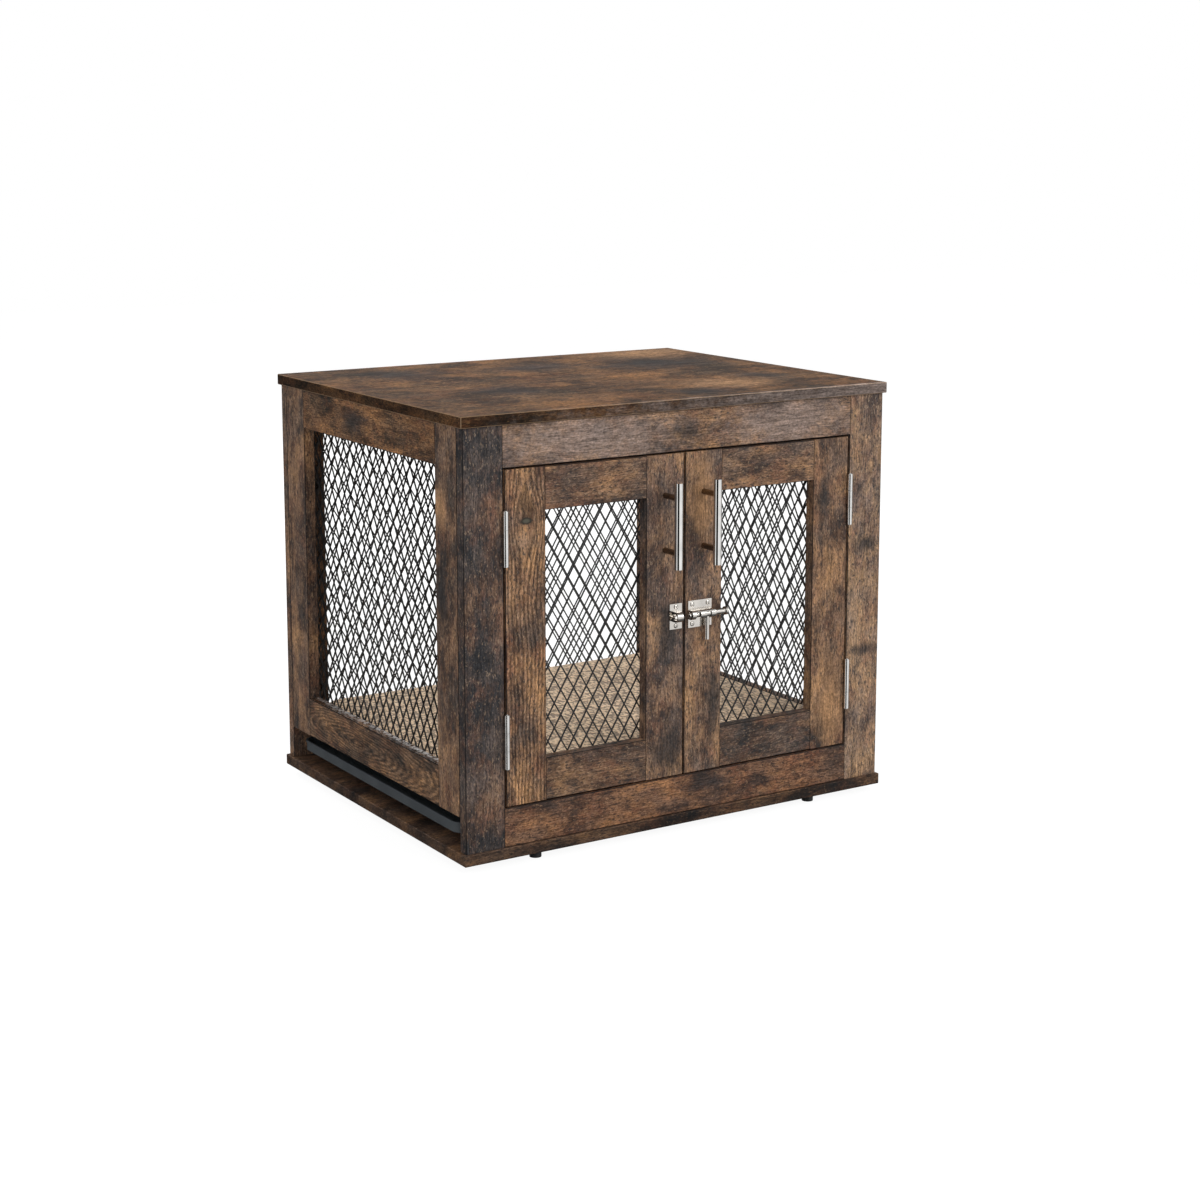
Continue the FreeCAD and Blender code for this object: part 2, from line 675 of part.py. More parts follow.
def latch():
    plate_far = "(latch_plate_near + latch_plate_length)"
    pieces = [plate("latch_plate_near", "latch_plate_length", "latch_plate_height")]
    pieces += barrel("latch_plate_near", "latch_plate_length", BOLT_BORE)
    node(cut(fused(pieces), barrel_hollow()), "latch_plate")

    keeper_low = "(-keeper_near - keeper_length)"
    guide_low = "(-keeper_near - keeper_length/2 - keeper_guide_width/2)"
    opening = "(bolt_radius + keeper_play)"
    pieces = [plate(keeper_low, "keeper_length", "keeper_height")]
    pieces += barrel(guide_low, "keeper_guide_width", opening)
    drill = turned(opening, "keeper_length", (keeper_low, BOLT_Y, DOOR_MIDDLE), "x")
    node(cut(fused(pieces), drill), "latch_keeper")

    tail_low = f"({plate_far} + collar_clear + bolt_throw)"
    shank = f"({tail_low} - bolt_rest - bolt_nose)"
    axis = (BOLT_Y, DOOR_MIDDLE)
    nose_place = ("bolt_rest + bolt_nose", *axis)
    pieces = [
        turned("bolt_radius", shank, nose_place, "x"),
        turned("bolt_radius", "bolt_nose", nose_place, "-x", "bolt_radius - bolt_nose"),
        turned("tail_radius", "tail_length", (tail_low, *axis), "x"),
    ]
    node(fused(pieces), "bolt_rod")

    pieces = [
        turned("bolt_radius + collar_wall", "collar_width", (COLLAR_LOW, *axis), "x"),
        turned("knob_radius", "knob_reach", (KNOB_X, *axis), "-z"),
    ]
    drill = turned("bolt_radius + collar_play", "collar_width", (COLLAR_LOW, *axis), "x")
    node(cut(fused(pieces), drill), "bolt_knob")


latch()


# Runners: each has a ledge for the tray and an upstand that carries the floor

def runner(label, low_y, ledge_y):
    upstand = "(tray_gap - tray_side_play)"
    run = f"({SIDE_INNER} - runner_setback)"
    low_side = f"-{SIDE_INNER} + runner_setback"
    length = f"{run} + {SIDE_INNER}"
    pieces = [
        block((length, upstand, f"{FLOOR_LOW} - {BASE_TOP}"), (low_side, low_y, BASE_TOP)),
        block((length, "runner_ledge_width", "runner_ledge_height"), (low_side, ledge_y, BASE_TOP)),
    ]
    node(fused(pieces), label)


runner("front_runner", FRONT_INNER, FRONT_INNER)
runner("rear_runner", f"{BACK_INNER} - tray_gap + tray_side_play", f"{BACK_INNER} - runner_ledge_width")

# Floor panel on the runners
FLOOR_EDGE = f"({SIDE_INNER} - floor_play)"
size = (f"2*{FLOOR_EDGE}", f"{SIDE_RUN} - 2*floor_play", "floor_thickness")
board("floor_panel", size, (f"-{FLOOR_EDGE}", f"{FRONT_INNER} + floor_play", FLOOR_LOW), "xyz")


# Tray: sheet pan with rounded corners and a hemmed rim

def tray():
    low = f"{BASE_TOP} + runner_ledge_height"
    length = f"({SIDE_INNER} + top_width/2 - tray_setback - tray_stop)"
    width = f"({SIDE_RUN} - 2*tray_gap)"
    body = new_body("tray", ("-top_width/2 + tray_setback", f"{FRONT_INNER} + tray_gap", low))
    outline = sketch_on(body, "XY_Plane")
    rounded_rectangle(outline, length, width, "tray_hem", "tray_corner")
    pad(body, outline, "tray_height")
    rim = sketch_on(body, "XY_Plane", "tray_height - tray_hem_height")
    rounded_rectangle(rim, length, width, "0", "tray_corner + tray_hem")
    pad(body, rim, "tray_hem_height")
    inner = sketch_on(body, "XY_Plane", "tray_height")
    rounded_rectangle(inner, length, width, "(tray_hem + tray_sheet)", "tray_corner - tray_sheet")
    pocket(body, inner, "tray_height - tray_sheet", "One side")


tray()


# Floor mat: a flat pad with rolled edges, sides drawn in between its corners and a low crown

def mat_outline(inset, height):
    """Closed outline of hollow sides and round corners, all tangent, drawn in by an inset."""
    half_x = value(f"{SIDE_INNER} - mat_side_play")
    half_y = value(f"{SIDE_RUN}/2 - mat_end_play")
    corner = value("mat_corner")
    draw = value("mat_draw_in")
    sides = []
    for turn in range(4):
        a, b = (half_x, half_y) if turn % 2 == 0 else (half_y, half_x)
        rise = b - corner
        reach = (rise * rise + draw * draw) / (2 * draw)
        lean = math.asin(rise / reach)
        bow = reach - corner + inset
        centre = a - draw + reach - corner
        spin = FreeCAD.Rotation(AXES["z"], 90 * turn)
        arc = [(centre - bow * math.cos(angle), bow * math.sin(angle)) for angle in (-lean, 0, lean)]
        bend = (corner - inset) / math.sqrt(2)
        arc.append((a - corner + bend, rise + bend))
        points = [FreeCAD.Vector(u, v, 0) for u, v in arc]
        sides.append([spin.multVec(point) + FreeCAD.Vector(0, 0, height) for point in points])
    edges = []
    for side, following in zip(sides, sides[1:] + sides[:1]):
        low, middle, high, bend = side
        edges.append(Part.Arc(low, middle, high).toShape())
        edges.append(Part.Arc(high, bend, following[0]).toShape())
    return Part.Wire(edges)


def mat():
    wall = value("mat_thickness - mat_crown")
    roll = value("mat_roll")
    tuck = value("mat_roll_inset")
    crown = value("mat_crown_inset")
    levels = [(0, 0), (0, wall - roll), (tuck, wall), (crown, value("mat_thickness"))]
    item = doc.addObject("Part::Feature", "floor_mat")
    item.Shape = Part.makeLoft([mat_outline(inset, height) for inset, height in levels], True, True)
    put(item, ("0", SIDE_CENTRE, MAT_LOW))
    node(item, "floor_mat")


mat()

# Feet: short round glides under the base
feet = []
for x in ("-foot_spread", "foot_spread"):
    for y in (f"{FRONT_EDGE} + foot_setback", f"{BACK_EDGE} - foot_setback"):
        feet.append(turned("foot_radius", "foot_height", (x, y, "0"), "z"))
group("feet", feet)

# Every object is checked before anything is written
doc.recompute()
for item in doc.Objects:
    if "Invalid" in item.State or "Error" in item.State:
        raise RuntimeError(f"{item.Label} failed to build: {item.State}")
for item in nodes:
    if item.Shape.isNull() or not item.Shape.isValid() or not item.Shape.Solids:
        raise RuntimeError(item.Label + " has no valid solid")

os.makedirs("parts", exist_ok=True)
for item in nodes:
    item.Shape.exportStep(f"parts/{item.Label}.step")
print(len(nodes), "nodes,", sum(len(item.Shape.Solids) for item in nodes), "solids")
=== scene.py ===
import json
import math

import bmesh
import bpy
from mathutils import Matrix, Vector


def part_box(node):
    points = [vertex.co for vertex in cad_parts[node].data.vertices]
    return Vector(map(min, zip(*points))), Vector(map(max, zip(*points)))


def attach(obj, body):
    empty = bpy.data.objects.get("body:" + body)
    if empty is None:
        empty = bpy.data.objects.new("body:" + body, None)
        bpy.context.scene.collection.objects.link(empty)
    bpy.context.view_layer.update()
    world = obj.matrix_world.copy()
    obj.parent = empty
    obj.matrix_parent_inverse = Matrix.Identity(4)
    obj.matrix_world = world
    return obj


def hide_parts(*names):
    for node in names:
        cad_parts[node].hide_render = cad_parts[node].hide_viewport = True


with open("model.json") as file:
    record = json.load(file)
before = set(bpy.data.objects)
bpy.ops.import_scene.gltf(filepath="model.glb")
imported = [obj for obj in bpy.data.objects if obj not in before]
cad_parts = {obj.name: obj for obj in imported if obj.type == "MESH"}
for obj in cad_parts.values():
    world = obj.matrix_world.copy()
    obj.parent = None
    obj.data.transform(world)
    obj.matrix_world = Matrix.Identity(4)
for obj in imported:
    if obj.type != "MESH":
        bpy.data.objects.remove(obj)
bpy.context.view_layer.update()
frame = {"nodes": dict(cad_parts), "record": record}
nodes = frame["nodes"]

# Camera, fitted to the corners of the top and base boards in the photograph
CAMERA_PLACE = (-1.4247, -2.2821, 0.8328)
CAMERA_AZIMUTH = -32.40
CAMERA_ELEVATION = 9.38
CAMERA_LENS = 66.15
CAMERA_SENSOR = 36
CAMERA_SHIFT = -0.1


def make_camera():
    azimuth = math.radians(CAMERA_AZIMUTH)
    elevation = math.radians(CAMERA_ELEVATION)
    level = math.cos(elevation)
    back = Vector((math.sin(azimuth) * level, -math.cos(azimuth) * level, math.sin(elevation)))
    right = Vector((math.cos(azimuth), math.sin(azimuth), 0))
    turn = Matrix((right, back.cross(right), back)).transposed()
    data = bpy.data.cameras.new("camera")
    data.lens = CAMERA_LENS
    data.sensor_width = CAMERA_SENSOR
    data.shift_y = CAMERA_SHIFT
    camera = bpy.data.objects.new("camera", data)
    camera.matrix_world = Matrix.Translation(CAMERA_PLACE) @ turn.to_4x4()
    bpy.context.scene.collection.objects.link(camera)
    bpy.context.scene.camera = camera


make_camera()


# Shader helpers

def add(tree, kind, inputs=None, **settings):
    """New node with its settings; an input is a value or another node's output."""
    made = tree.nodes.new(kind)
    for name, setting in settings.items():
        setattr(made, name, setting)
    for name, value in (inputs or {}).items():
        if isinstance(value, bpy.types.NodeSocket):
            tree.links.new(value, made.inputs[name])
        else:
            made.inputs[name].default_value = value
    return made


def arithmetic(tree, operation, first, second=0.0, clamp=False):
    made = add(tree, "ShaderNodeMath", {0: first, 1: second}, operation=operation, use_clamp=clamp)
    return made.outputs[0]


def vector_math(tree, operation, *inputs):
    made = add(tree, "ShaderNodeVectorMath", dict(enumerate(inputs)), operation=operation)
    return made.outputs["Value" if operation in ("LENGTH", "DOT_PRODUCT") else "Vector"]


def remapped(tree, value, low, high, to_low, to_high, smooth=False):
    inputs = {"Value": value, "From Min": low, "From Max": high, "To Min": to_low, "To Max": to_high}
    kind = "SMOOTHSTEP" if smooth else "LINEAR"
    return add(tree, "ShaderNodeMapRange", inputs, clamp=True, interpolation_type=kind).outputs[0]


def stretched(tree, vector, scale):
    return vector_math(tree, "MULTIPLY", vector, scale)


def cloudy(tree, vector, scale, detail=4.0, roughness=0.55, distortion=0.0):
    inputs = {"Vector": vector, "Scale": scale, "Detail": detail}
    inputs.update({"Roughness": roughness, "Distortion": distortion})
    return add(tree, "ShaderNodeTexNoise", inputs).outputs["Fac"]


def ramp(tree, factor, stops):
    made = add(tree, "ShaderNodeValToRGB", {"Fac": factor})
    points = made.color_ramp.elements
    while len(points) < len(stops):
        points.new(1.0)
    for point, (position, colour) in zip(points, stops):
        point.position = position
        point.color = (*colour, 1.0)
    return made.outputs["Color"]


def mixed(tree, factor, first, second, blend="MIX"):
    made = add(tree, "ShaderNodeMix", {0: factor, 6: first, 7: second}, data_type="RGBA", blend_type=blend)
    return made.outputs[2]


def mixed_value(tree, factor, first, second):
    return add(tree, "ShaderNodeMix", {0: factor, 2: first, 3: second}, data_type="FLOAT").outputs[0]


def tinted(tree, factor, colour, tint):
    """Colour mixed towards a plain tint."""
    return mixed(tree, factor, colour, (*tint, 1.0))


def lit(tree, colour, light):
    """Colour times a grey value."""
    grey = add(tree, "ShaderNodeCombineColor", {0: light, 1: light, 2: light}).outputs[0]
    return mixed(tree, 1.0, colour, grey, "MULTIPLY")


def bumped(tree, height, strength, distance):
    inputs = {"Height": height, "Strength": strength, "Distance": distance}
    return add(tree, "ShaderNodeBump", inputs).outputs["Normal"]


def new_material(name):
    """Empty material with a shader; returns the material, its tree, the shader and object coordinates."""
    material = bpy.data.materials.new(name)
    material.use_nodes = True
    tree = material.node_tree
    shader = tree.nodes["Principled BSDF"]
    place = add(tree, "ShaderNodeTexCoord").outputs["Object"]
    return material, tree, shader, place


def wire_up(tree, shader, **sockets):
    for name, socket in sockets.items():
        tree.links.new(socket, shader.inputs[name.replace("_", " ").title()])


def dress(piece, material):
    piece.data.materials.clear()
    piece.data.materials.append(material)


# Rustic laminate: charcoal, brown and orange patches under a fine grain that runs along local X

CHARCOAL = (0.028, 0.026, 0.026)
DARK_BROWN = (0.068, 0.040, 0.028)
GREY_BROWN = (0.132, 0.094, 0.073)
RED_BROWN = (0.175, 0.080, 0.047)
MID_BROWN = (0.168, 0.096, 0.057)
ORANGE_BROWN = (0.310, 0.172, 0.084)
PALE_BROWN = (0.410, 0.275, 0.170)
SILVER_BROWN = (0.203, 0.153, 0.130)
WORN_GREY = (0.340, 0.270, 0.240)
BLOTCH_STOPS = [
    (0.36, CHARCOAL),
    (0.45, DARK_BROWN),
    (0.52, MID_BROWN),
    (0.63, ORANGE_BROWN),
    (0.80, MID_BROWN),
]
GRAIN_SWAY = (0.0, 0.02, 0.02)
LAMINATE_SOCKETS = [
    ("Vector", "INPUT", "NodeSocketVector"),
    ("Tone", "INPUT", "NodeSocketFloat"),
    ("Color", "OUTPUT", "NodeSocketColor"),
    ("Grain", "OUTPUT", "NodeSocketFloat"),
    ("Shade", "OUTPUT", "NodeSocketFloat"),
]


def layer(tree, place, across, scale, detail, roughness, distortion=0.0):
    """Noise that is finer across the grain than along it."""
    vector = stretched(tree, place, (1.0, across, across))
    return cloudy(tree, vector, scale, detail, roughness, distortion)


def veiled(tree, colour, noise, start, full, strength, tint):
    """Colour under a tint that comes in as the noise rises."""
    return tinted(tree, remapped(tree, noise, start, full, 0.0, strength), colour, tint)


def laminate_group():
    """Pattern that all boards share: its colour, its grain as a height and its grain as a shade."""
    group = bpy.data.node_groups.new("rustic_laminate", "ShaderNodeTree")
    for name, way, kind in LAMINATE_SOCKETS:
        group.interface.new_socket(name, in_out=way, socket_type=kind)
    entry = group.nodes.new("NodeGroupInput")
    straight = entry.outputs["Vector"]
    sway = layer(group, straight, across=2.0, scale=6.0, detail=3.0, roughness=0.55)
    place = vector_math(group, "MULTIPLY_ADD", sway, GRAIN_SWAY, straight)

    blotch = layer(group, place, across=2.0, scale=12.0, detail=10.0, roughness=0.70, distortion=0.3)
    colour = ramp(group, arithmetic(group, "ADD", blotch, entry.outputs["Tone"]), BLOTCH_STOPS)
    blush = layer(group, place, across=1.4, scale=27.0, detail=8.0, roughness=0.70)
    colour = veiled(group, colour, blush, 0.50, 0.64, 0.55, RED_BROWN)
    haze = layer(group, place, across=1.5, scale=18.0, detail=8.0, roughness=0.68)
    colour = veiled(group, colour, haze, 0.46, 0.64, 0.60, GREY_BROWN)
    smoke = layer(group, place, across=1.8, scale=14.0, detail=9.0, roughness=0.70, distortion=0.3)
    colour = veiled(group, colour, smoke, 0.56, 0.70, 0.80, CHARCOAL)

    figure = layer(group, place, across=12.0, scale=15.0, detail=8.0, roughness=0.72, distortion=0.3)
    fibre = layer(group, place, across=14.0, scale=55.0, detail=4.0, roughness=0.65)
    speck = layer(group, place, across=1.6, scale=330.0, detail=2.0, roughness=0.6)
    shade = remapped(group, figure, 0.34, 0.66, 0.72, 1.28)
    shade = arithmetic(group, "MULTIPLY", shade, remapped(group, fibre, 0.34, 0.66, 0.55, 1.45))
    shade = arithmetic(group, "MULTIPLY", shade, remapped(group, speck, 0.30, 0.70, 0.60, 1.40))
    colour = lit(group, colour, shade)

    wear_and_highlight = layer(group, place, across=2.2, scale=200.0, detail=3.0, roughness=0.7)
    colour = veiled(group, colour, wear_and_highlight, 0.57, 0.68, 0.5, PALE_BROWN)
    pores = layer(group, place, across=3.0, scale=180.0, detail=3.0, roughness=0.65)
    colour = veiled(group, colour, pores, 0.54, 0.63, 0.85, CHARCOAL)

    leave = group.nodes.new("NodeGroupOutput")
    group.links.new(colour, leave.inputs["Color"])
    group.links.new(arithmetic(group, "ADD", figure, fibre), leave.inputs["Grain"])
    group.links.new(shade, leave.inputs["Shade"])
    return group


# Sawn lines and patches

KNOT_HALF = (0.0034, 0.1, 0.0066)
KNOT_RIM = (0.026, 0.024, 0.019)
KNOT_HEART = (0.085, 0.082, 0.062)
KNOT_BEND = 0.014
KNOT_STRETCH = 0.45
ARCH_STRETCH = 0.15
LINE_SWAY = 0.018
LINE_BREAK = 0.6
PATCH_FEATHER = 1.6
PATCH_COVER = 0.85


def sawn_lines(tree, colour, place, centre, pitch, dark):
    """Lines of a sawn plank that bend around a dark knot or, without one, rise in arches.

    Local X runs along the grain and local Z across it.
    """
    reach = vector_math(tree, "SUBTRACT", place, centre)
    if dark:
        far = vector_math(tree, "LENGTH", stretched(tree, reach, (KNOT_STRETCH, 0.0, 1.0)))
        share = arithmetic(tree, "DIVIDE", KNOT_BEND, arithmetic(tree, "MAXIMUM", far, KNOT_BEND))
        share = arithmetic(tree, "SUBTRACT", 1.0, arithmetic(tree, "MULTIPLY", share, share))
        across = add(tree, "ShaderNodeSeparateXYZ", {0: reach}).outputs["Z"]
        line = arithmetic(tree, "MULTIPLY", across, share)
    else:
        line = vector_math(tree, "LENGTH", stretched(tree, reach, (ARCH_STRETCH, 0.0, 1.0)))
    sway = layer(tree, place, across=2.0, scale=9.0, detail=3.0, roughness=0.5)
    line = arithmetic(tree, "ADD", line, arithmetic(tree, "MULTIPLY", sway, LINE_SWAY))
    wave = arithmetic(tree, "SINE", arithmetic(tree, "MULTIPLY", line, 2 * math.pi / pitch))
    breaks = layer(tree, place, across=10.0, scale=30.0, detail=5.0, roughness=0.7)
    wave = arithmetic(tree, "ADD", wave, remapped(tree, breaks, 0.3, 0.7, -LINE_BREAK, LINE_BREAK))
    colour = lit(tree, colour, remapped(tree, wave, -0.9, 1.2, 1.30, 0.50))
    if dark:
        far = vector_math(tree, "LENGTH", vector_math(tree, "DIVIDE", reach, KNOT_HALF))
        colour = tinted(tree, remapped(tree, far, 0.9, 1.5, 0.9, 0.0, smooth=True), colour, KNOT_RIM)
        colour = tinted(tree, remapped(tree, far, 0.4, 0.9, 0.8, 0.0, smooth=True), colour, KNOT_HEART)
    return colour, wave


def smudged(tree, colour, place, shade, centre, half, tint):
    """One patch with a feathered edge at a real place on the board, under the same grain."""
    reach = vector_math(tree, "DIVIDE", vector_math(tree, "SUBTRACT", place, centre), half)
    feather = arithmetic(tree, "MULTIPLY", cloudy(tree, place, 70.0, 6.0, 0.7), PATCH_FEATHER)
    far = arithmetic(tree, "ADD", vector_math(tree, "LENGTH", reach), feather)
    cover = remapped(tree, far, 0.85, 2.0, PATCH_COVER, 0.0, smooth=True)
    return mixed(tree, cover, colour, lit(tree, (*tint, 1.0), shade))


# Edges of the boards

# Painted shade: factors that darken the upright edges of the panels
UPRIGHT_SHADE = {"top_panel": 0.42, "base_panel": 0.68, "floor_panel": 0.42}
# Painted highlight: pale tint on the bevelled rim of the top
RIM_HIGHLIGHT = {"top_panel": 0.4, "base_panel": 0.0, "floor_panel": 0.0}
# Painted shade: near-black tint on the bevels of all other boards, in the seams between them
SEAM_SHADE = 0.9
SEAM_SHADE_BLACK = (0.010, 0.009, 0.009)
UPWARD_FROM, UPWARD_TO = 0.3, 0.6
BEVEL_FROM, BEVEL_TO = 0.6, 0.9


def edged(tree, colour, name, normal, upward):
    """Panels get painted shade on their upright edges, the top also a painted highlight along its bevelled
    rim, and all other boards painted shade in their seams.

    A bevelled edge is told by its normal, whose fourth powers add up to less than a flat face's.
    """
    squares = vector_math(tree, "MULTIPLY", normal, normal)
    squareness = vector_math(tree, "DOT_PRODUCT", squares, squares)
    if name not in UPRIGHT_SHADE:
        # Painted shade in the seams
        painted_seam_shade = remapped(tree, squareness, BEVEL_FROM, BEVEL_TO, SEAM_SHADE, 0.0)
        return tinted(tree, painted_seam_shade, colour, SEAM_SHADE_BLACK)
    # Painted shade: upright faces of a panel darker than its upper face
    colour = lit(tree, colour, remapped(tree, upward, UPWARD_FROM, UPWARD_TO, UPRIGHT_SHADE[name], 1.0))
    # Painted highlight along the bevelled rim
    wear_and_highlight = remapped(tree, squareness, BEVEL_FROM, BEVEL_TO, RIM_HIGHLIGHT[name], 0.0)
    return tinted(tree, wear_and_highlight, colour, PALE_BROWN)


# Painted highlight in broken pale spots on the upper face of the left side's low rail

RAIL_HIGHLIGHT = {"left_bottom_rail": 0.9}
RAIL_HIGHLIGHT_PALE = (0.66, 0.62, 0.60)
HIGHLIGHT_FROM, HIGHLIGHT_TO = -0.287, -0.283
HIGHLIGHT_FRONT, HIGHLIGHT_BACK = -0.10, 0.20
HIGHLIGHT_BACK_SHARE = 0.4
RAIL_TOP_ROUGHNESS = 0.25


def rail_highlight_on(tree, place, strength):
    """Painted highlight in broken spots along the inner edge of the rail, fainter towards the back."""
    where = add(tree, "ShaderNodeSeparateXYZ", {0: place}).outputs
    highlight_spots = remapped(tree, cloudy(tree, place, 190.0, 2.0), 0.44, 0.54, 0.0, strength)
    inward = remapped(tree, where["X"], HIGHLIGHT_FROM, HIGHLIGHT_TO, 0.0, 1.0)
    forward = remapped(tree, where["Y"], HIGHLIGHT_FRONT, HIGHLIGHT_BACK, 1.0, HIGHLIGHT_BACK_SHARE)
    return arithmetic(tree, "MULTIPLY", arithmetic(tree, "MULTIPLY", highlight_spots, inward), forward)


# Boards: the tone, stain, lines and patches that each shows in the photograph

GRAIN_TURNS = {"x": (0, 0, 0), "y": (0, 0, -math.pi / 2), "z": (0, math.pi / 2, 0)}
SEED_STEP = (0.731, 0.377, 0.519)
WIDE_PATTERN = {"top_panel": (0.8, 0.42, 1.0)}
GRAIN_BUMP = 0.3
GRAIN_DEPTH = 0.0004
LINE_DEPTH = 0.15
GLOSS = {"left_bottom_rail": 0.4, "top_panel": 0.05}
PLAIN_GLOSS = 0.12
TONES = {
    "front_left_post": -0.105,
    "front_right_post": 0.060,
    "front_head_rail": 0.030,
    "front_sill": -0.005,
    "left_front_stile": -0.015,
    "left_door_hinge_stile": 0.030,
    "right_door_hinge_stile": 0.030,
    "right_door_lock_stile": 0.020,
    "left_door_bottom_rail": -0.020,
    "right_door_bottom_rail": -0.045,
    "top_panel": -0.005,
}
STAINS = {
    "top_panel": (0.84, 0.70, 0.50),
    "base_panel": (0.62, 0.60, 0.60),
    "front_left_post": (0.92, 0.97, 1.05),
    "left_top_rail": (0.97, 0.84, 0.66),
    "left_bottom_rail": (0.88, 0.80, 0.66),
    "front_right_post": (1.12, 1.23, 1.36),
    "right_door_lock_stile": (1.10, 1.13, 1.16),
    "left_door_lock_stile": (1.08, 1.12, 1.18),
    "left_door_hinge_stile": (1.08, 1.06, 1.02),
    "front_sill": (0.98, 0.86, 0.80),
}
FRONT_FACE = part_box("front_sill")[0].y
LEFT_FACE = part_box("left_top_rail")[0].x
TOP_LOW, TOP_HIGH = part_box("top_panel")
PATCH_DEPTH = 0.1
RIM_PATCH_DEPTH = 0.006
RIM_PATCH_HEIGHT = 0.05

# Sawn lines have a centre in the turned coordinates of the board (along the grain, through the board and
# across it), a pitch and a dark knot or none
KNOTS = {
    "left_door_hinge_stile": ((0.392, FRONT_FACE, 0.212), 0.0046, True),
    "left_bottom_rail": ((0.05, -LEFT_FACE, 0.085), 0.0030, False),
}


def on_front(x, z, half_x, half_z, tint):
    return (x, FRONT_FACE, z), (half_x, PATCH_DEPTH, half_z), tint


def on_left(y, z, half_y, half_z, tint):
    return (LEFT_FACE, y, z), (PATCH_DEPTH, half_y, half_z), tint


def on_top(x, y, half_x, half_y, tint):
    return (x, y, TOP_HIGH.z), (half_x, half_y, PATCH_DEPTH), tint


def on_top_edge(x, half_x, tint):
    """Patch on the front edge of the top, which hardly reaches its upper face."""
    middle = (TOP_LOW.z + TOP_HIGH.z) / 2
    return (x, TOP_LOW.y, middle), (half_x, RIM_PATCH_DEPTH, RIM_PATCH_HEIGHT), tint


SMUDGES = {
    "front_head_rail": [
        on_front(-0.130, 0.476, 0.150, 0.040, SILVER_BROWN),
        on_front(0.150, 0.476, 0.120, 0.040, SILVER_BROWN),
        on_front(0.002, 0.476, 0.030, 0.015, CHARCOAL),
    ],
    "front_sill": [on_front(0.040, 0.052, 0.050, 0.014, CHARCOAL)],
    "front_right_post": [
        on_front(0.270, 0.316, 0.030, 0.014, CHARCOAL),
        on_front(0.270, 0.184, 0.030, 0.010, CHARCOAL),
        on_front(0.258, 0.389, 0.006, 0.008, CHARCOAL),
    ],
    "left_door_lock_stile": [
        on_front(-0.024, 0.252, 0.020, 0.050, CHARCOAL),
        on_front(-0.022, 0.100, 0.028, 0.050, CHARCOAL),
    ],
    "right_door_lock_stile": [
        on_front(0.042, 0.157, 0.015, 0.062, CHARCOAL),
        on_front(0.025, 0.395, 0.020, 0.060, ORANGE_BROWN),
    ],
    "right_door_hinge_stile": [
        on_front(0.205, 0.378, 0.011, 0.038, CHARCOAL),
        on_front(0.215, 0.120, 0.026, 0.060, ORANGE_BROWN),
    ],
    "left_top_rail": [on_left(0.046, 0.478, 0.045, 0.018, CHARCOAL)],
    "left_front_stile": [
        on_left(-0.166, 0.407, 0.022, 0.026, ORANGE_BROWN),
        on_left(-0.168, 0.308, 0.016, 0.055, CHARCOAL),
    ],
    "top_panel": [
        on_top(0.173, 0.101, 0.120, 0.085, CHARCOAL),
        on_top(0.213, -0.085, 0.045, 0.060, CHARCOAL),
        on_top(0.053, -0.180, 0.050, 0.045, CHARCOAL),
        on_top(-0.171, 0.159, 0.060, 0.070, CHARCOAL),
        on_top(0.005, 0.139, 0.080, 0.055, CHARCOAL),
        on_top(-0.141, -0.052, 0.055, 0.050, CHARCOAL),
        on_top(0.230, 0.215, 0.110, 0.070, ORANGE_BROWN),
        on_top(0.130, -0.125, 0.080, 0.055, ORANGE_BROWN),
        on_top_edge(0.330, 0.500, WORN_GREY),
    ],
}


def grain_of(name):
    if name.endswith(("post", "stile")):
        return "z"
    if name.startswith(("left_top", "left_bottom", "right_top", "right_bottom")):
        return "y"
    return "x"


